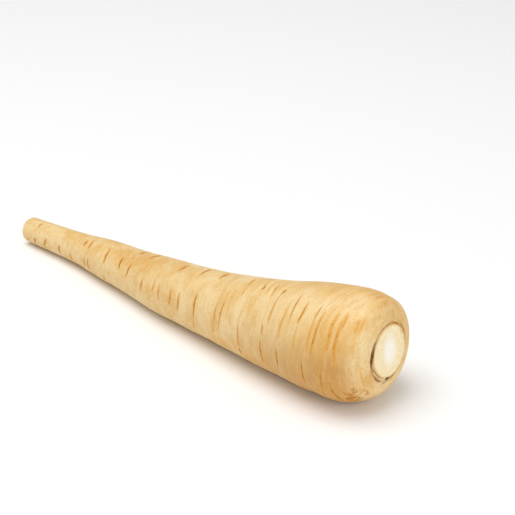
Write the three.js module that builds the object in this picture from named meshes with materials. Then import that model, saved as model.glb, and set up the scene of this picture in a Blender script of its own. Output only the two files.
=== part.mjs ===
// A parsnip's taproot, lying on its side. It is one solid: a long taper that bows a little to one side, with a
// full, rounded shoulder at the crown, the flat-cut stub of the leaf stalks standing in a shallow groove, and
// a thin tail that is trimmed square and slightly rounded.
// X runs from the tail to the crown, Z is up, and the underside lies on Z = 0.

import * as THREE from "three";

// Driving dimensions, in millimetres.
const LENGTH = 240; // from the trimmed tail to the cut crown, along X
const FULL_RADIUS = 25.5; // where the shoulder is fullest
const STUB_RADIUS = 12; // of the stub of the leaf stalks
const TAIL_ROUNDING = 1.6; // of the tail's edge
const FLAT_DEPTH = 0.35; // taken off the underside where the root lies

// The centre line: share of the length, then its bow to the side and its height as shares of the full radius.
const CENTRE_LINE = [
  [0, -0.01, 0.27],
  [0.22, -0.005, 0.37],
  [0.45, -0.19, 0.54],
  [0.66, -0.25, 0.735],
  [0.82, -0.21, 0.91],
  [0.92, -0.105, 1.035],
  [1, 0, 1.12],
];

// The shoulder is a quarter of a superellipse, from the fullest place in to the groove round the stub.
const SHOULDER_START = 0.925; // share of the length
const SHOULDER_POWER = 2.4;

// The taper: share of the length, then the radius as a share of the full radius.
const TAPER = [
  [0, 0.252],
  [0.06, 0.266],
  [0.16, 0.308],
  [0.25, 0.39],
  [0.34, 0.445],
  [0.43, 0.525],
  [0.52, 0.58],
  [0.61, 0.65],
  [0.7, 0.75],
  [0.78, 0.85],
  [0.85, 0.955],
  [SHOULDER_START, 1],
];

// From the shoulder, through the groove and up the stub's wall to its cut face: depth below that face, then
// distance outside the stub's radius, in millimetres.
const GROOVE = [
  [1.3, 1.6],
  [1.4, 1.0],
  [2.3, 0.7],
  [1.9, 0.35],
  [0.3, 0.05],
  [0, -0.2],
];

// The shoulder leans: its upper far side stands nearer the crown than its lower near side, and is pinched in
// a little. Each term has the share of the length where it is strongest, its spread, and its two parts.
const LEAN = { at: 0.915, spread: 0.06, side: 0.26, up: 0.165 };
const PINCH = { at: 0.95, spread: 0.03, side: -0.04, up: -0.045 };

// Slow lobes round the root, which twist along it: how many, height as a share of the radius, turns along the
// root, and start in radians.
const LOBES = [
  [2, 0.008, -0.8, 0.4],
  [3, 0.006, 1.3, 1.1],
];

// How finely the surface is divided.
const SIDES = 36;
const RING_STEP = 4; // millimetres
const TAIL_STEPS = 4;
const SHOULDER_STEPS = 9;

// A smooth curve through rows of stations, the first number of each being the share of the length.
function through(rows) {
  const shares = rows.map((row) => row[0]);
  const values = rows.flatMap((row) => row.slice(1));
  const curve = new THREE.CubicInterpolant(shares, values, rows[0].length - 1);
  return (share) => [...curve.evaluate(share)];
}

const centreLine = through(CENTRE_LINE);
const taper = through(TAPER);

// The tail's cut face and its rounded edge, as radius and distance from the tail.
function tailOutline() {
  const points = [new THREE.Vector2(0, 0)];
  const tailRadius = taper(0)[0] * FULL_RADIUS;
  for (let i = 0; i <= TAIL_STEPS; i++) {
    const turn = ((i / TAIL_STEPS) * Math.PI) / 2;
    const inset = TAIL_ROUNDING * (1 - Math.sin(turn));
    points.push(new THREE.Vector2(tailRadius - inset, TAIL_ROUNDING * (1 - Math.cos(turn))));
  }
  return points;
}

// The long taper, from the tail's rounded edge to the fullest place.
function taperOutline() {
  const points = [];
  const end = SHOULDER_START * LENGTH;
  const rings = Math.round((end - TAIL_ROUNDING) / RING_STEP);
  for (let i = 1; i <= rings; i++) {
    const x = THREE.MathUtils.lerp(TAIL_ROUNDING, end, i / rings);
    points.push(new THREE.Vector2(taper(x / LENGTH)[0] * FULL_RADIUS, x));
  }
  return points;
}

// The shoulder, the groove, the stub's wall and the cut face.
function crownOutline() {
  const points = [];
  const [grooveDepth, grooveReach] = GROOVE[0];
  const start = SHOULDER_START * LENGTH;
  const end = LENGTH - grooveDepth;
  const grooveRadius = STUB_RADIUS + grooveReach;
  for (let i = 1; i < SHOULDER_STEPS; i++) {
    const turn = ((i / SHOULDER_STEPS) * Math.PI) / 2;
    const along = Math.sin(turn) ** (2 / SHOULDER_POWER);
    const out = Math.cos(turn) ** (2 / SHOULDER_POWER);
    const radius = THREE.MathUtils.lerp(grooveRadius, FULL_RADIUS, out);
    points.push(new THREE.Vector2(radius, THREE.MathUtils.lerp(start, end, along)));
  }
  for (const [depth, reach] of GROOVE) {
    points.push(new THREE.Vector2(STUB_RADIUS + reach, LENGTH - depth));
  }
  points.push(new THREE.Vector2(0, LENGTH));
  return points;
}

// How strongly a term acts at a share of the length, from 0 to 1.
function strength(term, share) {
  return Math.exp(-(((share - term.at) / term.spread) ** 2));
}

// The centre line's place at a share of the length, and the three directions there: along it, to its side
// and over it.
function frameAt(share) {
  const place = (at) => {
    const [bow, height] = centreLine(at);
    return new THREE.Vector3(at * LENGTH, bow * FULL_RADIUS, height * FULL_RADIUS);
  };
  const step = 0.002;
  const along = place(Math.min(share + step, 1)).sub(place(Math.max(share - step, 0))).normalize();
  const side = new THREE.Vector3(0, 0, 1).cross(along).normalize();
  const over = along.clone().cross(side);
  return { centre: place(share), along, side, over };
}

// Bends the straight turned root along its centre line, and gives it its lobes and its leaning shoulder.
function bend(geometry) {
  const position = geometry.getAttribute("position");
  for (let i = 0; i < position.count; i++) {
    const share = position.getY(i) / LENGTH;
    const angle = Math.atan2(position.getX(i), position.getZ(i));
    const toSide = Math.cos(angle);
    const toTop = Math.sin(angle);
    let fullness = 1;
    for (const [count, height, turns, start] of LOBES) {
      fullness += height * Math.cos(count * angle + turns * 2 * Math.PI * share + start);
    }
    fullness *= 1 + strength(PINCH, share) * (PINCH.side * toSide + PINCH.up * toTop);
    const radius = Math.hypot(position.getX(i), position.getZ(i)) * fullness;
    const lean = strength(LEAN, share) * radius * (LEAN.side * toSide + LEAN.up * toTop);
    const { centre, along, side, over } = frameAt(share);
    centre.addScaledVector(side, radius * toSide);
    centre.addScaledVector(over, radius * toTop);
    centre.addScaledVector(along, lean);
    position.setXYZ(i, centre.x, centre.y, centre.z);
  }
}

// Flattens the underside where the root lies, and sets the root on Z = 0, centred over the origin.
function settle(geometry) {
  geometry.computeBoundingBox();
  const floor = geometry.boundingBox.min.z + FLAT_DEPTH;
  const position = geometry.getAttribute("position");
  for (let i = 0; i < position.count; i++) {
    position.setZ(i, Math.max(position.getZ(i), floor));
  }
  geometry.computeBoundingBox();
  const middle = geometry.boundingBox.getCenter(new THREE.Vector3());
  geometry.translate(-middle.x, -middle.y, -floor);
}

// The outline is turned round, starting half a side on, so that a facet and not an edge is at the bottom.
const outline = [...tailOutline(), ...taperOutline(), ...crownOutline()];
const geometry = new THREE.LatheGeometry(outline, SIDES, Math.PI / SIDES, 2 * Math.PI);
bend(geometry);
settle(geometry);
geometry.computeVertexNormals();

const skin = new THREE.MeshStandardMaterial({ color: 0xe3b574, roughness: 0.55, metalness: 0 });
const taproot = new THREE.Mesh(geometry, skin);
taproot.name = "taproot";

const parsnip = new THREE.Group();
parsnip.add(taproot);

export default parsnip;
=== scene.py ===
import math
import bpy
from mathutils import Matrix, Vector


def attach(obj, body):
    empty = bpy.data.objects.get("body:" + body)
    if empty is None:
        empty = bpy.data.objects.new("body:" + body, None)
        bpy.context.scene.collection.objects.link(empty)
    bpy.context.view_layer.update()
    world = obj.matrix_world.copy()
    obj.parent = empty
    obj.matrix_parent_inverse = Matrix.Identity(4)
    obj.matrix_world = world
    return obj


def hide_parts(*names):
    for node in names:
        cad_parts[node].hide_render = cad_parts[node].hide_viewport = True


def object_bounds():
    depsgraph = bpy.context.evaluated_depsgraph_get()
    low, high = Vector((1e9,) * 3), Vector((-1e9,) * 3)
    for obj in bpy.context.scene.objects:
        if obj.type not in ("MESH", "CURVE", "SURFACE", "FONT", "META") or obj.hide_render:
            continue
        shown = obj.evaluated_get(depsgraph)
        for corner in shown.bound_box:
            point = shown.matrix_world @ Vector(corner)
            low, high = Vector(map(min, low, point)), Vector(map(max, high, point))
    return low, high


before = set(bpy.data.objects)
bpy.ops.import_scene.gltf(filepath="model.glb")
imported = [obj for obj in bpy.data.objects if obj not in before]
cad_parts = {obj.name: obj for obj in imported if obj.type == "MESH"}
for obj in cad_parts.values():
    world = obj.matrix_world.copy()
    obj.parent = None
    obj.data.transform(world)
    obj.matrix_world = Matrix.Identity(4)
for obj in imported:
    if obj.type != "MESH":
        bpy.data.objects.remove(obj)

from types import SimpleNamespace

import bpy
import numpy as np
from mathutils import Vector

# A parsnip's taproot: creased golden skin, a full shoulder, the cut stub of the leaf stalks standing in a
# narrow groove, and a trimmed tail. The shape is worked out in millimetres, with distances running from the
# tail (0) to the crown, and the angle going from the root's left side (0) over the top (90 degrees) to its
# right side (180) and its underside (270). It is set on the frame in metres at the end.

CAD_LOW, CAD_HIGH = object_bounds()
MIDDLE = (Vector(CAD_LOW) + Vector(CAD_HIGH)) / 2
MM = 0.001
TURN = 2 * math.pi

# ------------------------------------------------------------------------------- the root's main sizes

LENGTH = 240.0
FULL_RADIUS = 25.5
STUB_RADIUS = 12.0
TAIL_ROUNDING = 1.6

# How deep the root's lowest side is pressed flat where it rests.
FLAT_DEPTH = 0.35

# The centre line: share of the length, then the bow to the side and the height as shares of the full
# radius.
CENTRE_LINE = np.array([
    [0, -0.01, 0.27],
    [0.22, -0.005, 0.37],
    [0.45, -0.19, 0.54],
    [0.66, -0.25, 0.735],
    [0.82, -0.21, 0.91],
    [0.92, -0.105, 1.035],
    [1, 0, 1.12],
])

# Where the shoulder starts as a share of the length, and the power of the superellipse that it follows.
SHOULDER_START = 0.925
SHOULDER_POWER = 2.4

# The taper: share of the length, then the radius as a share of the full radius.
TAPER = np.array([
    [0, 0.252],
    [0.06, 0.266],
    [0.16, 0.308],
    [0.25, 0.39],
    [0.34, 0.445],
    [0.43, 0.525],
    [0.52, 0.58],
    [0.61, 0.65],
    [0.7, 0.75],
    [0.78, 0.85],
    [0.85, 0.955],
    [SHOULDER_START, 1],
])

# From the collar through the groove and up the stub's wall: depth below the cut face, then distance outside
# the stub's radius.
GROOVE = np.array([
    [1.3, 1.6],
    [1.2, 1.3],
    [1.4, 1.0],
    [2.1, 0.85],
    [2.3, 0.6],
    [1.9, 0.35],
    [1.0, 0.15],
    [0.3, 0.05],
    [0.05, 0.0],
    [0, -0.2],
])

# Where the groove lies further out: by how many millimetres, the angle, and the spread.
GROOVE_SWELLS = ((0.35, 205, 50), (1.2, 243, 24))

# Where the collar comes up nearer to the cut face: by what share, the angle, and the spread.
RAISED = (0.62, 114, 60)

# The lean and the pinch of the shoulder: the share of the length where each is strongest, its spread, and
# its parts to the side and upwards.
LEAN = (0.915, 0.06, 0.26, 0.165)
PINCH = (0.95, 0.03, -0.04, -0.045)

# Slow lobes: how many round, height as a share of the radius, turns along the root, start.
LOBES = ((2, 0.008, -0.8, 0.4), (3, 0.006, 1.3, 1.1))

# The grid: points round each ring, the radius of the last ring before a pole, and the distance between
# rings on each stretch of the outline.
SIDES = 120
POLE_GAP = 0.4
STEP = {
    "tail_face": 0.7,
    "tail_edge": 0.35,
    "taper": 0.33,
    "shoulder": 0.36,
    "groove": 0.18,
    "cut_face": 0.6,
}

# ------------------------------------------------------------------------------- the marks on the skin

# Creases: distance from the tail and angle round the root at each end, then width in millimetres and
# darkness.
CREASES = (
    (11.0, 96, 10.9, 133, 0.8, 0.6),
    (10.9, 178, 10.1, 214, 0.8, 0.9),
    (5.2, 188, 4.6, 208, 0.7, 0.65),
    (19.2, 158, 18.0, 206, 1.2, 0.65),
    (30.0, 164, 30.2, 208, 0.8, 0.8),
    (39.0, 170, 39.3, 210, 0.8, 0.5),
    (51.6, 161, 51.4, 204, 0.9, 0.55),
    (55.2, 162, 55.0, 208, 0.8, 0.8),
    (69.3, 188, 67.4, 214, 0.8, 0.7),
    (47.7, 106, 48.3, 136, 1.1, 0.75),
    (52.0, 96, 52.4, 138, 1.0, 0.65),
    (67.1, 106, 69.1, 160, 1.1, 0.7),
    (80.5, 120, 81.7, 157, 0.9, 0.95),
    (89.3, 128, 89.5, 165, 1.0, 0.75),
    (102.5, 151, 101.5, 178, 0.9, 0.65),
    (111.2, 140, 111.1, 168, 0.8, 0.45),
    (115.2, 140, 115.4, 178, 1.0, 0.5),
    (123.8, 144, 124.0, 179, 1.0, 0.65),
    (130.1, 144, 130.1, 183, 0.9, 0.65),
    (142.0, 138, 141.2, 189, 0.7, 0.75),
    (141.2, 186, 139.6, 208, 0.7, 0.5),
    (144.0, 173, 143.7, 195, 0.7, 0.2),
    (88.0, 70, 87.5, 96, 1.2, 0.75),
    (97.6, 66, 97.3, 105, 1.4, 0.95),
    (121.6, 78, 121.2, 110, 1.1, 0.75),
    (134.7, 72, 135.2, 107, 1.1, 0.8),
    (147.6, 78, 148.2, 104, 1.3, 0.85),
    (156.6, 143, 156.0, 179, 1.1, 0.45),
    (155.9, 176, 155.0, 194, 1.0, 0.35),
    (161.2, 118, 160.6, 142, 0.8, 0.12),
    (160.8, 134, 159.6, 189, 0.7, 0.5),
    (174.0, 126, 173.4, 162, 1.0, 0.16),
    (173.5, 156, 172.2, 202, 0.6, 0.55),
    (172.2, 200, 171.7, 211, 1.0, 0.9),
    (166.8, 85, 168.9, 111, 0.9, 0.55),
    (168.9, 108, 169.0, 126, 0.8, 0.35),
    (177.1, 90, 178.1, 108, 0.8, 0.35),
    (177.9, 101, 178.2, 110, 1.1, 0.85),
    (180.8, 86, 182.5, 118, 0.4, 0.42),
    (184.7, 94, 186.1, 121, 0.9, 0.42),
    (191.0, 102, 191.0, 112, 1.0, 0.85),
    (191.0, 104, 191.0, 152, 0.7, 0.42),
    (187.9, 152, 188.1, 168, 0.7, 0.6),
    (187.4, 170, 186.9, 210, 0.6, 0.85),
    (199.2, 114, 199.1, 164, 1.1, 0.35),
    (202.0, 104, 203.0, 142, 0.4, 0.6),
    (203.0, 130, 203.2, 162, 1.0, 0.15),
    (198.2, 174, 197.4, 206, 0.6, 0.85),
    (207.9, 114, 208.6, 144, 0.9, 0.6),
    (209.5, 142, 210.2, 174, 1.0, 0.3),
    (215.4, 116, 216.4, 136, 0.4, 0.6),
    (216.0, 126, 219.8, 170, 0.7, 0.4),
    (218.3, 121, 222.8, 176, 0.9, 0.55),
    (217.7, 172, 217.9, 211, 0.6, 0.8),
    (224.8, 120, 228.6, 180, 1.0, 0.45),
    (227.6, 113, 231.2, 180, 0.9, 0.5),
    (228.6, 119, 229.9, 140, 0.5, 0.5),
    (226.8, 176, 225.6, 232, 0.6, 0.65),
    (229.4, 188, 229.1, 236, 0.7, 0.8),
    (232.1, 196, 232.1, 232, 0.5, 0.6),
    (231.7, 218, 231.2, 242, 0.8, 0.8),
    (234.0, 212, 232.9, 240, 0.8, 0.6),
    (233.6, 120, 234.8, 140, 0.8, 0.38),
    (234.9, 115, 236.2, 139, 1.0, 0.33),
    (234.2, 121, 235.4, 139, 1.4, 0.12),
    (234.8, 134, 236.0, 168, 1.3, 0.18),
    (237.6, 168, 237.8, 216, 0.5, 0.3),
)

# The rest of the root has seeded creases between two angles, at about this spacing along it. Hairlines,
# which are faint and thin, lie all over.
WILD_ANGLES = (232, 416)
WILD_SPACING = 5.0
HAIRLINES = 170
CREASE_SEED = 11

# The darkness of a crease comes and goes along it, about once in so many degrees.
BEAD_LENGTH = 12

# Soft patches of paler skin, or more golden skin where the last number is below 0: distance from the tail,
# angle, spread along the root in millimetres and round it in degrees, and strength.
PATCHES = (
    (75, 202, 40, 20, 0.7),
    (165, 165, 26, 22, 0.6),
    (36, 168, 12, 22, 0.6),
    (190, 118, 20, 14, 0.6),
    (231, 106, 10, 22, 0.8),
    (88, 112, 22, 26, -0.7),
    (118, 98, 14, 20, -0.5),
    (204, 88, 10, 20, -0.45),
    (120, 165, 12, 20, -0.2),
    (70, 150, 11, 34, 0.6),
    (120, 172, 7, 34, -0.35),
    (134, 165, 6, 34, 0.4),
    (150, 114, 6, 20, -0.3),
    (183, 118, 8, 13, -0.4),
    (208, 163, 7, 12, 0.4),
    (217, 130, 3, 14, 0.5),
    (203, 138, 5, 14, 0.35),
    (220, 108, 9, 18, 0.45),
    (235.3, 195, 3.5, 26, 0.6),
    (238.3, 205, 1.6, 24, -0.7),
    (237, 156, 2.5, 20, 0.7),
    (235, 88, 5, 34, -0.8),
    (228, 78, 10, 12, -0.9),
    (235, 131, 2.0, 13, -0.9),
    (229.5, 170, 4.5, 34, -0.7),
    (24, 160, 10, 16, 0.4),
    (130, 210, 120, 18, -0.3),
    (200, 290, 40, 40, 0.4),
    (110, 320, 40, 40, -0.4),
    (50, 20, 30, 40, 0.4),
)

# Scabs low on the shoulder: distance from the tail, angle, and half sizes along in millimetres and round in
# degrees.
SCABS = ((234.9, 214, 1.1, 5.0), (236.6, 224, 1.6, 8.0), (233.3, 229, 1.8, 12.0))

# Half the width and half the height of the pale core on the cut crown.
CORE_SIZE = (5.6, 8.4)

# The skin's grain is read on a cylinder of this radius, so that it is drawn out as the root grows wider.
GRAIN_RADIUS = 18.0

# The values of the marks at the tail's pole and the crown's, where they aren't 0.
AT_POLES = {"flesh": (1, 1), "centre": (0, 1)}


def through(rows, share):
    """A cubic curve through rows of stations, each a share and then its values. Its slope at a station is
    the mean of the slopes of the chords on either side, and at an end the slope of the one chord there."""
    at, values = rows[:, 0], rows[:, 1:]
    chords = np.diff(values, axis=0) / np.diff(at)[:, None]
    slopes = np.concatenate([chords[:1], (chords[1:] + chords[:-1]) / 2, chords[-1:]])
    share = np.clip(share, at[0], at[-1])
    i = np.clip(np.searchsorted(at, share, side="right") - 1, 0, len(at) - 2)
    span = (at[i + 1] - at[i])[:, None]
    p = (share - at[i])[:, None] / span
    between = values[i] * (2 * p**3 - 3 * p**2 + 1) + values[i + 1] * (3 * p**2 - 2 * p**3)
    return between + span * (slopes[i] * (p**3 - 2 * p**2 + p) + slopes[i + 1] * (p**3 - p**2))


def running(points):
    """The distance along a line of points to each of them."""
    return np.concatenate([[0], np.cumsum(np.linalg.norm(np.diff(points, axis=0), axis=1))])


def evenly(points, step):
    """The same line with its points about a step apart along it."""
    reach = running(points)
    places = np.linspace(0, reach[-1], max(round(reach[-1] / step), 1) + 1)
    return np.stack([np.interp(places, reach, column) for column in points.T], axis=1)


def bell(value, at, spread, power=2):
    """1 where the value is at its place, falling to both sides as exp(-((distance / spread) ** power))."""
    return np.exp(-(np.abs((value - at) / spread) ** power))


def rise(value, low, high):
    """0 up to low, 1 from high, and 3 p squared - 2 p cubed between them. Low may be above high."""
    p = np.clip((value - low) / (high - low), 0, 1)
    return p * p * (3 - 2 * p)


def turned(angle, at):
    """The angle measured from a place in degrees, from -180 to 180."""
    return (np.degrees(angle) - at + 180) % 360 - 180


def waves(seed, reach, angle, shortest, longest, most_round, count=28):
    """Seeded unevenness, mostly within -1 to 1: a sum of cosines, each with its own wavelength along the
    root between the shortest and the longest, its own whole number of cycles round it, and its own
    start."""
    draw = np.random.default_rng(seed)
    total = np.zeros(np.broadcast_shapes(reach.shape, angle.shape))
    for _ in range(count):
        pitch = TURN / draw.uniform(shortest, longest)
        cycles = draw.integers(-most_round, most_round + 1)
        total += np.cos(pitch * reach + cycles * angle + draw.uniform(0, TURN))
    return total / math.sqrt(count)


def outline():
    """The half outline as stretches, each of rows of distance from the tail and radius: the tail's cut
    face, a quarter circle round its edge, the taper, the shoulder as a quarter of a superellipse, the
    groove with the stub's wall, and the crown's cut face."""
    quarter = np.linspace(0, math.pi / 2, 90)
    tail = float(through(TAPER, np.zeros(1))[0, 0]) * FULL_RADIUS
    edge_x = TAIL_ROUNDING * (1 - np.cos(quarter))
    edge_r = tail - TAIL_ROUNDING * (1 - np.sin(quarter))
    start = SHOULDER_START * LENGTH
    x = np.linspace(TAIL_ROUNDING, start, 500)
    groove_x = LENGTH - GROOVE[:, 0]
    groove_r = STUB_RADIUS + GROOVE[:, 1]
    along = np.sin(quarter) ** (2 / SHOULDER_POWER)
    out = np.cos(quarter).clip(0) ** (2 / SHOULDER_POWER)
    shoulder_x = start + (groove_x[0] - start) * along
    shoulder_r = groove_r[0] + (FULL_RADIUS - groove_r[0]) * out
    station = np.arange(len(GROOVE), dtype=float)
    groove = np.stack([station, groove_x, groove_r], axis=1)
    return {
        "tail_face": np.array([[0, POLE_GAP], [0, tail - TAIL_ROUNDING]]),
        "tail_edge": np.stack([edge_x, edge_r], axis=1),
        "taper": np.stack([x, through(TAPER, x / LENGTH)[:, 0] * FULL_RADIUS], axis=1),
        "shoulder": np.stack([shoulder_x, shoulder_r], axis=1),
        "groove": through(groove, np.linspace(0, station[-1], 200)),
        "cut_face": np.array([[LENGTH, groove_r[-1]], [LENGTH, POLE_GAP]]),
    }


def bent(distance, radius, angle):
    """Each point's place before its fine detail. A ring is a circle round the centre line, square to it,
    whose radius is the outline's, times the lobes and the pinch. The lean shifts a point along the line in
    proportion to how far it reaches to the side and upwards, and by how far it is ahead of the ring's first
    point."""
    share = distance / LENGTH
    to_side, to_top = np.cos(angle), np.sin(angle)
    fullness = 1 + sum(
        height * np.cos(count * angle + turns * TURN * share + start)
        for count, height, turns, start in LOBES
    )
    at, spread, side, up = PINCH
    full = radius * fullness * (1 + bell(share, at, spread) * (side * to_side + up * to_top))
    at, spread, side, up = LEAN
    lean = bell(share, at, spread) * full * (side * to_side + up * to_top) + distance - distance[:, :1]

    def line(s):
        return np.concatenate([s[:, None] * LENGTH, through(CENTRE_LINE, s) * FULL_RADIUS], axis=1)

    nudge = 0.002
    ring = share[:, 0]
    along = line(np.minimum(ring + nudge, 1)) - line(np.maximum(ring - nudge, 0))
    along /= np.linalg.norm(along, axis=1)[:, None]
    side_way = np.cross([0.0, 0.0, 1.0], along)
    side_way /= np.linalg.norm(side_way, axis=1)[:, None]
    over = np.cross(along, side_way)
    spoke = to_side[..., None] * side_way[:, None] + to_top[..., None] * over[:, None]
    return line(ring)[:, None] + full[..., None] * spoke + lean[..., None] * along[:, None]


def outward(place):
    """The direction out of the surface at each point of the grid: the cross product of the way round the
    root and the way along it."""
    along = np.gradient(place, axis=0)
    padded = np.concatenate([place[:, -1:], place, place[:, :1]], axis=1)
    around = (padded[:, 2:] - padded[:, :-2]) / 2
    normal = np.cross(around, along)
    return normal / np.linalg.norm(normal, axis=2)[..., None].clip(1e-9)


def lay_out():
    """The grid, in arrays of rings by sides, or of rings by 1. Reach is the running length of the outline
    from the tail's centre, depth is the distance below the crown's cut face, and bottom is the reach where
    the groove is deepest. In one place the collar is raised by a share of its depth. The groove swells
    outwards in two others, and it and the collar are uneven."""
    rows, zones = [], []
    for name, line in outline().items():
        points = evenly(line, STEP[name])[1:]
        rows.append(points)
        zones += [name] * len(points)
    rows, zones = np.concatenate(rows), np.array(zones)[:, None]
    g = SimpleNamespace()
    g.reach = running(rows)[:, None]
    g.angle = np.arange(SIDES)[None] * (TURN / SIDES) + 0 * g.reach
    g.distance = rows[:, :1] + 0 * g.angle
    g.radius = rows[:, 1:] + 0 * g.angle
    g.depth = LENGTH - g.distance
    g.groove = zones == "groove"
    g.skin = np.isin(zones, ("tail_edge", "taper", "shoulder"))
    g.flesh = np.isin(zones, ("tail_face", "cut_face")) + 0 * g.angle
    g.bottom = g.reach[g.groove][np.argmax(g.depth[:, :1][g.groove])]
    lift, at, spread = RAISED
    lift = lift * rise(g.bottom - g.reach, 7, 1.5) * bell(turned(g.angle, at), 0, spread, 3)
    g.distance = g.distance + lift * g.depth
    g.depth = LENGTH - g.distance
    near = np.where(g.reach <= g.bottom, rise(g.radius, 20.5, 13.8), rise(g.depth, 0.1, 2.0))
    near = near * (g.distance > SHOULDER_START * LENGTH)
    swell = sum(size * bell(turned(g.angle, at), 0, spread) for size, at, spread in GROOVE_SWELLS)
    g.radius = g.radius + near * (swell + 0.13 * waves(3, g.reach, g.angle, 2, 8, 22))
    return g


def wild_creases():
    """Seeded creases for the sides that the list leaves out, each of random place, length and darkness, and
    longer and wider towards the crown. After them come seeded hairlines all over."""
    draw = np.random.default_rng(CREASE_SEED)
    start, end = WILD_ANGLES
    found = []
    x = 8.0
    while x < SHOULDER_START * LENGTH + 8:
        grown = x / LENGTH
        length = draw.uniform(24, 40) + 25 * grown * draw.random()
        angle = draw.uniform(start, end - length)
        slant = draw.normal(0, 0.6 + 0.8 * grown)
        width = draw.uniform(0.7, 1.0) + 0.4 * grown * draw.random()
        found.append((x, angle, x + slant, angle + length, width, draw.uniform(0.3, 0.85)))
        x += WILD_SPACING * draw.uniform(0.5, 1.5)
    for _ in range(HAIRLINES):
        x = draw.uniform(4, 234)
        angle = draw.uniform(0, 360)
        length = draw.uniform(15, 60)
        slant = draw.normal(0, 0.8)
        width, dark = draw.uniform(0.25, 0.5), draw.uniform(0.05, 0.25)
        found.append((x, angle, x + slant, angle + length, width, dark))
    return found


def creases(g):
    """How deep in a crease's dark core and in its wider stain each point lies, from 0 to 1. Along a crease
    p goes from 0 to 1, and its middle wanders by two sines. Its strength is the square root of
    4 p (1 - p), skewed to one end, and its core is beaded by a cosine. Across it both are flat-topped
    bells, the core about half as wide as the stain."""
    core, stain = np.zeros(g.angle.shape), np.zeros(g.angle.shape)
    skin = np.flatnonzero(g.skin[:, 0])
    draw = np.random.default_rng(CREASE_SEED + 1)
    for x0, a0, x1, a1, width, dark in (*CREASES, *wild_creases()):
        near = skin[np.abs(g.distance[skin, 0] - (x0 + x1) / 2) < abs(x1 - x0) / 2 + 4]
        p = (np.degrees(g.angle[near]) - a0) % 360 / (a1 - a0)
        phase = draw.uniform(0, TURN, 3)
        skew = draw.uniform(-0.5, 0.5)
        held = np.clip(p, 0, 1)
        ends = np.sqrt(4 * held * (1 - held)) * (1 + skew * (2 * held - 1))
        wander = width * (0.22 * np.sin(5 * p + phase[0]) + 0.12 * np.sin(13 * p + phase[1]))
        middle = np.interp(x0 + (x1 - x0) * p, g.distance[skin, 0], g.reach[skin, 0])
        off = g.reach[near] - middle - wander
        beads = 0.72 + 0.28 * np.cos(TURN * p * max((a1 - a0) / BEAD_LENGTH, 1) + phase[2])
        thin = 0.35 + 0.65 * ends
        narrow = bell(off, 0, (0.18 + 0.28 * width) * thin, 3)
        wide = bell(off, 0.1 * width, (0.3 + 0.54 * width) * thin, 4)
        core[near] = np.maximum(core[near], dark * beads * ends * narrow)
        stain[near] = np.maximum(stain[near], (0.12 + 0.88 * dark) * ends**0.7 * wide)
    return core, stain


def groove_marks(g, m):
    """Adds the stub's wall, the bark in the groove, and the flap of skin across it. Bark is the strongest
    of dark blotches, mostly on the root's right side, fibres along the wall, a seam at the groove's bottom,
    a line on the wall level with the collar's edge, a scar underneath, and a line on the collar's lip."""
    past_bottom = g.groove * rise(g.reach - g.bottom, -0.1, 0.3) * (g.distance > LENGTH / 2)
    m.wall = past_bottom * rise(g.depth, 0.15, 0.5)
    on_right = bell(turned(g.angle, 166), 0, 24)
    blotches = m.wall * rise(waves(13, g.reach, g.angle, 0.8, 2.5, 16) + 2.6 * on_right, 0.9, 2.0)
    fibres = m.wall * rise(waves(15, g.reach, g.angle, 0.7, 1.5, 5), 0.3, 1.0) * 0.8
    width = (0.26 + 0.3 * on_right + 0.09 * waves(12, g.reach, g.angle, 3, 9, 20)).clip(0.12)
    from_seam = np.abs(g.reach - g.bottom)
    seam = rise(from_seam, 1.7 * width, 0.7 * width) * (0.1 + 0.9 * bell(turned(g.angle, 196), 0, 82, 4))
    under_edge = m.wall * rise(g.depth, 0.72, 0.98) * bell(turned(g.angle, 142), 0, 24, 4) * 0.9
    scar = rise(from_seam, 1.6, 0.8) * bell(turned(g.angle, 267), 0, 8, 4)
    lip = bell(g.bottom - g.reach, 1.95, 0.5, 4) * bell(turned(g.angle, 324), 0, 74, 6)
    lip = lip * (0.8 + 0.3 * waves(16, g.reach, g.angle, 4, 9, 18))
    m.bark = np.maximum.reduce([blotches, fibres, seam, under_edge, scar, lip])
    m.flap = bell(from_seam, 0, 1.1, 4) * bell(turned(g.angle, 251), 0, 8, 4)


def crown_marks(g, m):
    """Adds the scabs, which are ellipses with ragged edges, the rough collar, the flesh of the cut faces,
    its pale centre, and the edge of the crown's flesh where it has dried."""
    skin = g.skin[:, 0]
    ragged = waves(9, g.reach, g.angle, 1.2, 4, 30)
    m.scab = np.zeros(g.angle.shape)
    for at, angle, half_along, half_round in SCABS:
        off = g.reach - np.interp(at, g.distance[skin, 0], g.reach[skin, 0])
        edge = np.hypot(off / half_along, turned(g.angle, angle) / half_round)
        m.scab = np.maximum(m.scab, rise(edge + 0.2 * ragged, 1.35, 0.75))
    near_groove = rise(g.bottom - g.reach, 0.5, 2.0) * rise(g.bottom - g.reach, 12.0, 7.0)
    m.collar = near_groove * (0.25 + 0.75 * bell(turned(g.angle, 98), 0, 48))
    m.flesh = g.flesh
    crown_flesh = m.flesh * (g.distance > LENGTH / 2)
    across, up = CORE_SIZE
    middle = np.hypot(g.radius * np.cos(g.angle) / across, g.radius * np.sin(g.angle) / up)
    m.centre = crown_flesh * rise(middle, 1.2, 0.3)
    m.dried = crown_flesh * rise(g.radius, 9.6, 11.6) * bell(turned(g.angle, 25), 0, 48) * 0.6


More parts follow.
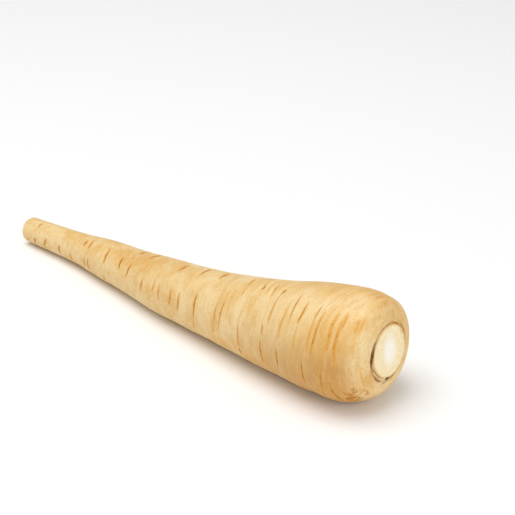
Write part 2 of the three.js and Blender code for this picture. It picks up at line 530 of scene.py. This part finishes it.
def skin_tints(g, m):
    """Adds browner skin, low on the shoulder and a little towards the crown, partly the skin's own tan and
    partly painted shade on the root's lower side, and the patches of paler skin above 0 or more golden skin
    below it."""
    # Painted shade, in part: the lower side of the shoulder is made darker and browner, for shade that
    # falls there as well as the skin's own tan.
    low_side = bell(turned(g.angle, 212), 0, 56, 3)
    m.browned = rise(g.distance, 160, 205) * rise(g.distance, 239, 231) * low_side * 0.85
    m.browned = m.browned + 0.6 * bell(g.distance, 229.5, 4.5) * bell(turned(g.angle, 188), 0, 22)
    m.browned = (m.browned + rise(g.distance, 221, 236) * 0.05).clip(0, 1)
    m.pale = sum(
        strength * bell(g.distance, x, along) * bell(turned(g.angle, angle), 0, around)
        for x, angle, along, around, strength in PATCHES
    ).clip(-1, 1)


def marks(g):
    """The fields over the grid that the material and the fine shape read, each from 0 to 1, but for pale,
    which is from -1 to 1, and bark, which can pass 1 a little."""
    m = SimpleNamespace()
    m.crease, m.stain = creases(g)
    groove_marks(g, m)
    crown_marks(g, m)
    skin_tints(g, m)
    return m


def relief(g, m):
    """The fine shape, as millimetres out of the surface, a sum of slow swells, patches of wrinkles across
    the root and a fine grain, all three away from its ends, with sunken creases, stains and bark, lumps on
    the scabs and the collar, the raised flap, and saw marks on the cut faces."""
    away = rise(g.reach, 0, 6) * rise(g.bottom - g.reach, 0.4, 4)
    slow = waves(5, g.reach, g.angle, 22, 60, 3) * (g.radius / FULL_RADIUS)
    folds = waves(6, g.reach, g.angle, 2.2, 6, 4)
    patchy = rise(waves(7, g.reach, g.angle, 25, 60, 4), -0.5, 0.8)
    grain = waves(8, g.reach, g.angle, 0.8, 2.0, 9)
    lumps = waves(10, g.reach, g.angle, 1.4, 3.6, 44)
    saw = waves(14, g.radius * np.cos(g.angle + 0.5), 0 * g.angle, 1.5, 5, 0)
    return (
        away * (0.11 * slow + 0.035 * patchy * folds + 0.016 * grain)
        - 0.26 * m.crease
        - 0.13 * m.stain
        + m.scab * (0.07 * lumps + 0.04)
        + 0.07 * m.collar * lumps
        - 0.3 * m.bark
        + 1.1 * m.flap
        + 0.04 * m.flesh * saw
    )


def bake_map(g):
    """Each corner of each face on a flat map for baking. The body is two bands, from the tail's edge to its
    middle and from there to the stub's top, with the running length across the map and the angle up it. The
    cut faces are flat discs above them."""
    reach, radius = g.reach[:, 0], g.radius.mean(axis=1)
    body = np.flatnonzero(g.flesh[:, 0] == 0)
    first, last = body[0] - 1, body[-1]
    middle = (first + last) // 2
    i, j = np.indices((len(reach) - 1, SIDES))
    ring = i[..., None] + np.array([0, 0, 1, 1])
    side = j[..., None] + np.array([0, 1, 1, 0])

    def band(start, end, low, high):
        across = 0.01 + 0.98 * (reach[ring] - reach[start]) / (reach[end] - reach[start])
        return np.stack([across, low + (high - low) * side / SIDES], axis=-1)

    def disc(ring_radius, side, middle, scale):
        turn = side * (TURN / SIDES)
        return middle + scale * np.stack([ring_radius * np.cos(turn), ring_radius * np.sin(turn)], axis=-1)

    # Each disc's middle on the map, and how much of the map a millimetre takes.
    tail_disc = ((0.3, 0.89), 0.01)
    crown_disc = ((0.11, 0.89), 0.0075)
    zone = [i < first, i < middle, i < last]
    quads = np.select(
        [z[..., None, None] for z in zone],
        [
            disc(radius[ring], side, *tail_disc),
            band(first, middle, 0.5, 0.78),
            band(middle, last, 0.01, 0.49),
        ],
        disc(radius[ring], side, *crown_disc),
    )
    j = np.arange(SIDES)[:, None]
    tail_fan = disc(radius[0] * np.array([1, 1, 0]), j + np.array([1, 0, 0]), *tail_disc)
    crown_fan = disc(radius[-1] * np.array([1, 1, 0]), j + np.array([0, 1, 0]), *crown_disc)
    return np.concatenate([part.reshape(-1, 2) for part in (quads, tail_fan, crown_fan)])


def closed_faces(count):
    """The faces of a tube of rings, with a fan at each end to the pole points that come after the rings."""
    i = np.arange(count - 1)[:, None] * SIDES
    j = np.arange(SIDES)[None]
    k = (j + 1) % SIDES
    quads = np.stack([i + j, i + k, i + SIDES + k, i + SIDES + j], axis=-1).reshape(-1, 4)
    pole = count * SIDES
    last = (count - 1) * SIDES
    tail_fan = np.stack([k[0], j[0], np.full(SIDES, pole)], axis=-1)
    crown_fan = np.stack([last + j[0], last + k[0], np.full(SIDES, pole + 1)], axis=-1)
    return quads.tolist() + tail_fan.tolist() + crown_fan.tolist()


def keep(mesh, name, values):
    """Keeps a number for every vertex in a named attribute, or a vector if the values are rows of three."""
    kind, field = ("FLOAT_VECTOR", "vector") if values.ndim == 2 else ("FLOAT", "value")
    attribute = mesh.attributes.new(name, kind, "POINT")
    attribute.data.foreach_set(field, values.astype(np.float32).ravel())


def make_root():
    """The grid bent along the centre line and moved out by its relief, with its lowest side pressed flat by
    a little and its two poles closed, and set in the middle of the frame's box, on its floor. The fibre
    attribute is a place on the grain's cylinder, as far along it as the reach."""
    g = lay_out()
    m = marks(g)
    place = bent(g.distance, g.radius, g.angle)
    place = place + outward(place) * relief(g, m)[..., None]
    low, high = place.min(axis=(0, 1)), place.max(axis=(0, 1))
    middle = (low + high) / 2
    place = place - [middle[0], middle[1], low[2] + FLAT_DEPTH]
    place[..., 2] = np.maximum(place[..., 2], 0)
    poles = [place[0].mean(axis=0), place[-1].mean(axis=0)]
    points = np.concatenate([place.reshape(-1, 3), poles]) * MM + [MIDDLE.x, MIDDLE.y, CAD_LOW[2]]
    mesh = bpy.data.meshes.new("parsnip_taproot")
    mesh.from_pydata(points, [], closed_faces(len(g.reach)))
    mesh.shade_smooth()
    mesh.uv_layers.new(name="OFBake").uv.foreach_set("vector", bake_map(g).astype(np.float32).ravel())
    for name, field in vars(m).items():
        keep(mesh, name, np.concatenate([field.ravel(), AT_POLES.get(name, (0, 0))]))
    round_it = [GRAIN_RADIUS * np.cos(g.angle), GRAIN_RADIUS * np.sin(g.angle)]
    fibre = np.stack([g.reach + 0 * g.angle, *round_it], axis=-1).reshape(-1, 3)
    keep(mesh, "fibre", np.concatenate([fibre, [[0, 0, 0], [g.reach[-1, 0], 0, 0]]]) * MM)
    root = bpy.data.objects.new("parsnip_taproot", mesh)
    bpy.context.scene.collection.objects.link(root)
    return root


# ------------------------------------------------------------------------------- shader maths


class Value:
    """A socket of a material's nodes. An expression on values adds its Math nodes."""

    def __init__(self, nodes, socket):
        self.nodes = nodes
        self.socket = socket

    def maths(self, operation, *values):
        return self.nodes.add("ShaderNodeMath", {"operation": operation}, *values)

    def __add__(self, other):
        return self.maths("ADD", self, other)

    def __sub__(self, other):
        return self.maths("SUBTRACT", self, other)

    def __rsub__(self, other):
        return self.maths("SUBTRACT", other, self)

    def __mul__(self, other):
        return self.maths("MULTIPLY", self, other)

    __radd__ = __add__
    __rmul__ = __mul__


class Nodes:
    """A material's nodes, added one after another."""

    def __init__(self, name):
        self.material = bpy.data.materials.new(name)
        self.material.use_nodes = True
        self.tree = self.material.node_tree
        self.tree.nodes.clear()

    def add(self, kind, settings=None, *values, output=0, **named):
        """Adds a node of a type, gives it its settings, then gives its sockets their values or links: the
        first sockets in order, and others by name with _ for a space. Returns the output asked for."""
        node = self.tree.nodes.new(kind)
        for key, setting in (settings or {}).items():
            setattr(node, key, setting)
        sockets = [(node.inputs[i], value) for i, value in enumerate(values)]
        for key, value in named.items():
            name = key.replace("_", " ")
            sockets.append((next(s for s in node.inputs if s.name == name and s.enabled), value))
        for socket, value in sockets:
            if isinstance(value, Value):
                self.tree.links.new(value.socket, socket)
            else:
                socket.default_value = value
        if not node.outputs:
            return None
        if isinstance(output, str):
            return Value(self, next(s for s in node.outputs if s.name == output and s.enabled))
        return Value(self, node.outputs[output])

    def attribute(self, name, output="Fac"):
        """What the mesh keeps for each vertex under a name."""
        return self.add("ShaderNodeAttribute", {"attribute_name": name}, output=output)

    def noise(self, vector, per_metre, detail=2.0, roughness=0.5):
        """Noise from 0 to 1, with about so many swings to the metre."""
        sizes = {"Scale": per_metre, "Detail": detail, "Roughness": roughness}
        return self.add("ShaderNodeTexNoise", None, Vector=vector, **sizes, output="Fac")

    def stretched(self, vector, scale):
        """The vector times a scale for each axis. A pattern read there is finer along a large one."""
        return self.add("ShaderNodeMapping", None, Vector=vector, Scale=scale)

    def mix(self, share, first, second):
        """The second colour over the first, by a share that is held between 0 and 1."""
        settings = {"data_type": "RGBA", "clamp_factor": True}
        return self.add("ShaderNodeMix", settings, Factor=share, A=first, B=second, output="Result")

    def between(self, value, low, high):
        """0 below low and 1 above high, smoothly."""
        limits = {"From_Min": low, "From_Max": high}
        return self.add("ShaderNodeMapRange", {"interpolation_type": "SMOOTHSTEP"}, Value=value, **limits)


def shade(red, green, blue):
    """A colour in the linear light that shaders work in, from the 0-255 numbers of a paint card."""
    c = np.array([red, green, blue]) / 255
    linear = np.where(c <= 0.04045, c / 12.92, ((c + 0.055) / 1.055) ** 2.4)
    return (*linear.tolist(), 1.0)


CREAM = shade(233, 203, 145)
GOLD = shade(227, 187, 115)
PALE = shade(238, 215, 168)
DEEP_GOLD = shade(217, 166, 88)
TAN = shade(200, 149, 78)
OCHRE = shade(218, 161, 68)
RUST = shade(201, 134, 44)
BROWN = shade(158, 98, 28)
SCAB_RIM = shade(172, 112, 40)
UMBER = shade(126, 80, 38)
STRAW = shade(222, 186, 128)
HONEY = shade(198, 138, 66)
FLESH = shade(246, 230, 187)
RIM = shade(243, 221, 172)
FLAP = shade(206, 176, 158)
CORE = shade(250, 243, 230)


def root_material():
    """Skin: cream and gold in clouds, browner low on the shoulder (partly the skin's tan and partly painted
    shade on the lower side), streaked across the root, with ochre to rust stains and brown cores in its
    creases. Bark in the groove, honey crusts on the scab, and on the cut faces ringed flesh with a paler
    core."""
    n = Nodes("parsnip skin and flesh")
    place = n.add("ShaderNodeTexCoord", None, output="Object")
    fibre = n.attribute("fibre", "Vector")
    clouds = n.noise(place, 45.0, 3.0)
    puffs = n.noise(n.stretched(fibre, (1.4, 1.0, 1.0)), 100.0, 3.0, 0.55)
    mottle = n.noise(n.stretched(fibre, (1.6, 1.0, 1.0)), 260.0, 4.0, 0.6)
    streaks = n.noise(n.stretched(fibre, (7.0, 1.0, 1.0)), 90.0, 3.0, 0.6)
    threads = n.noise(n.stretched(fibre, (11.0, 1.0, 1.0)), 120.0, 3.0, 0.65)
    specks = n.noise(place, 1300.0, 2.0)
    crust = n.noise(place, 380.0, 3.0, 0.6)

    crease, stain = n.attribute("crease"), n.attribute("stain")
    bark, wall, scab = n.attribute("bark"), n.attribute("wall"), n.attribute("scab")
    browned, pale, collar = n.attribute("browned"), n.attribute("pale"), n.attribute("collar")

    skin = n.mix(n.between(clouds, 0.36, 0.64), CREAM, GOLD)
    skin = n.mix(pale * (0.5 + 0.5 * mottle), skin, PALE)
    skin = n.mix(-1.0 * pale, skin, DEEP_GOLD)
    skin = n.mix(n.between(puffs, 0.5, 0.68) * 0.5, skin, PALE)
    skin = n.mix(n.between(puffs, 0.5, 0.32) * 0.45, skin, DEEP_GOLD)
    # Partly painted shade: the lower shoulder is darkened towards tan, besides the skin's own browning.
    skin = n.mix(browned * (0.5 + 0.8 * mottle), skin, TAN)
    skin = n.mix(n.between(streaks, 0.52, 0.72) * (0.36 - 0.2 * browned), skin, PALE)
    skin = n.mix(n.between(streaks, 0.46, 0.28) * 0.3, skin, DEEP_GOLD)
    skin = n.mix(n.between(threads, 0.54, 0.74) * 0.4, skin, DEEP_GOLD)
    skin = n.mix(n.between(threads, 0.44, 0.26) * 0.32, skin, PALE)
    skin = n.mix(collar * n.between(mottle, 0.45, 0.62) * 0.4, skin, OCHRE)
    skin = n.mix(n.between(specks, 0.55, 0.72) * (0.36 + 0.1 * collar), skin, HONEY)
    skin = n.mix(n.between(specks, 0.45, 0.3) * (0.25 - 0.2 * browned), skin, PALE)
    skin = n.mix(n.between(mottle, 0.6, 0.78) * 0.25, skin, HONEY)
    skin = n.mix(n.between(stain, 0.05, 0.5) * 0.8, skin, OCHRE)
    skin = n.mix(n.between(stain + 0.5 * mottle, 0.6, 1.1) * 0.85, skin, RUST)
    skin = n.mix(n.between(crease + 0.8 * specks, 0.6, 1.15) * 0.8, skin, BROWN)
    loops = n.between(crust, 0.4, 0.47) * n.between(crust, 0.58, 0.51)
    skin = n.mix(scab * 0.35, skin, OCHRE)
    skin = n.mix(scab * n.between(crust, 0.52, 0.64) * 0.5, skin, PALE)
    skin = n.mix(scab * loops * 0.9, skin, SCAB_RIM)
    skin = n.mix(wall * 0.7, skin, STRAW)
    skin = n.mix(bark * (0.6 + 0.7 * specks), skin, UMBER)
    skin = n.mix(n.attribute("flap") * 0.8, skin, FLAP)

    rays = n.noise(n.stretched(fibre, (1.0, 2.0, 2.0)), 200.0, 2.0)
    flecks = n.noise(place, 900.0, 2.0)
    rings = n.noise(place, 300.0, 2.0)
    flesh = n.mix(n.between(rays + rings, 0.9, 1.1) * 0.8, FLESH, RIM)
    flesh = n.mix(n.between(flecks, 0.57, 0.7) * 0.5, flesh, STRAW)
    flesh = n.mix(n.attribute("dried") * n.between(rings, 0.35, 0.6), flesh, HONEY)
    flesh = n.mix(n.attribute("centre"), flesh, CORE)
    colour = n.mix(n.attribute("flesh"), skin, flesh)

    rough = 0.44 + 0.14 * mottle + 0.3 * bark + 0.25 * scab
    height = 0.5 * threads + 0.35 * streaks + 0.25 * specks + 0.6 * scab * crust
    normal = n.add("ShaderNodeBump", None, Strength=0.4, Distance=0.00018, Height=height)
    shader = n.add(
        "ShaderNodeBsdfPrincipled",
        None,
        Base_Color=colour,
        Roughness=rough,
        Normal=normal,
        IOR=1.4,
        Subsurface_Weight=0.1,
        Subsurface_Radius=(0.8, 0.45, 0.2),
        Subsurface_Scale=0.003,
    )
    n.add("ShaderNodeOutputMaterial", None, Surface=shader)
    return n.material


root = make_root()
root.data.materials.append(root_material())
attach(root, "root")
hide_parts("taproot")

# ------------------------------------------------------------------------------- floor, light and camera

FLOOR_HALF = 3.0
SKY_STRENGTH = 0.495

# Each light's place in lengths of the root along each axis, its size in metres and its power in watts.
LIGHTS = {
    "overhead light": ((-0.6, -1.05, 4.9), 1.0, 10.3),
    "crown light": ((4.6, -1.3, 1.9), 0.8, 4.0),
}

# The camera's turn round the root and its rise in degrees, its place to the right, up and away from the
# middle of the root in millimetres, half its angle of view in degrees, and its sensor's width in
# millimetres.
CAMERA_TURN = (43.255, 27.071)
CAMERA_PLACE = (31.65, 6.66, 866.4)
CAMERA_HALF_ANGLE = 8.0
SENSOR_WIDTH = 36.0


def floor_material():
    """Matt and nearly white."""
    n = Nodes("pale floor")
    shader = n.add("ShaderNodeBsdfPrincipled", None, Base_Color=(0.93, 0.93, 0.93, 1.0), Roughness=0.9)
    n.add("ShaderNodeOutputMaterial", None, Surface=shader)
    return n.material


def make_floor(half):
    """A square on the ground, out past everything that the camera sees."""
    corners = [(-half, -half, 0), (half, -half, 0), (half, half, 0), (-half, half, 0)]
    mesh = bpy.data.meshes.new("floor")
    mesh.from_pydata(corners, [], [(0, 1, 2, 3)])
    mesh.materials.append(floor_material())
    floor = bpy.data.objects.new("floor", mesh)
    bpy.context.scene.collection.objects.link(floor)


def make_sky(strength):
    """Even white light from all round."""
    world = bpy.data.worlds.new("sky")
    world.use_nodes = True
    background = world.node_tree.nodes["Background"]
    background.inputs["Color"].default_value = (1.0, 1.0, 1.0, 1.0)
    background.inputs["Strength"].default_value = strength
    bpy.context.scene.world = world


def make_lamp(name, lengths, size, watts):
    """A square soft light aimed at the middle of the root, and some lengths of the root away from it along
    each axis."""
    data = bpy.data.lights.new(name, "AREA")
    data.shape = "SQUARE"
    data.size = size
    data.energy = watts
    lamp = bpy.data.objects.new(name, data)
    away = Vector(lengths) * LENGTH * MM
    lamp.location = MIDDLE + away
    lamp.rotation_mode = "QUATERNION"
    lamp.rotation_quaternion = (-away).to_track_quat("-Z", "Y")
    bpy.context.scene.collection.objects.link(lamp)


def make_camera():
    """Round the root by the azimuth, up by the elevation, and back from the middle of its box. It is then
    moved to the right and up a little, so that the root lies in the lower left of the view."""
    azimuth, elevation = map(math.radians, CAMERA_TURN)
    back = Vector((
        math.sin(azimuth) * math.cos(elevation),
        -math.cos(azimuth) * math.cos(elevation),
        math.sin(elevation),
    ))
    right = Vector((math.cos(azimuth), math.sin(azimuth), 0))
    up = back.cross(right)
    lens = bpy.data.cameras.new("camera")
    lens.sensor_width = SENSOR_WIDTH
    lens.lens = SENSOR_WIDTH / 2 / math.tan(math.radians(CAMERA_HALF_ANGLE))
    camera = bpy.data.objects.new("camera", lens)
    to_right, to_top, away = CAMERA_PLACE
    camera.location = MIDDLE + (right * to_right + up * to_top + back * away) * MM
    camera.rotation_mode = "QUATERNION"
    camera.rotation_quaternion = (-back).to_track_quat("-Z", "Y")
    bpy.context.scene.collection.objects.link(camera)
    bpy.context.scene.camera = camera


make_floor(FLOOR_HALF)
make_sky(SKY_STRENGTH)
for name, (lengths, size, watts) in LIGHTS.items():
    make_lamp(name, lengths, size, watts)
make_camera()
bpy.context.scene.view_settings.view_transform = "Standard"
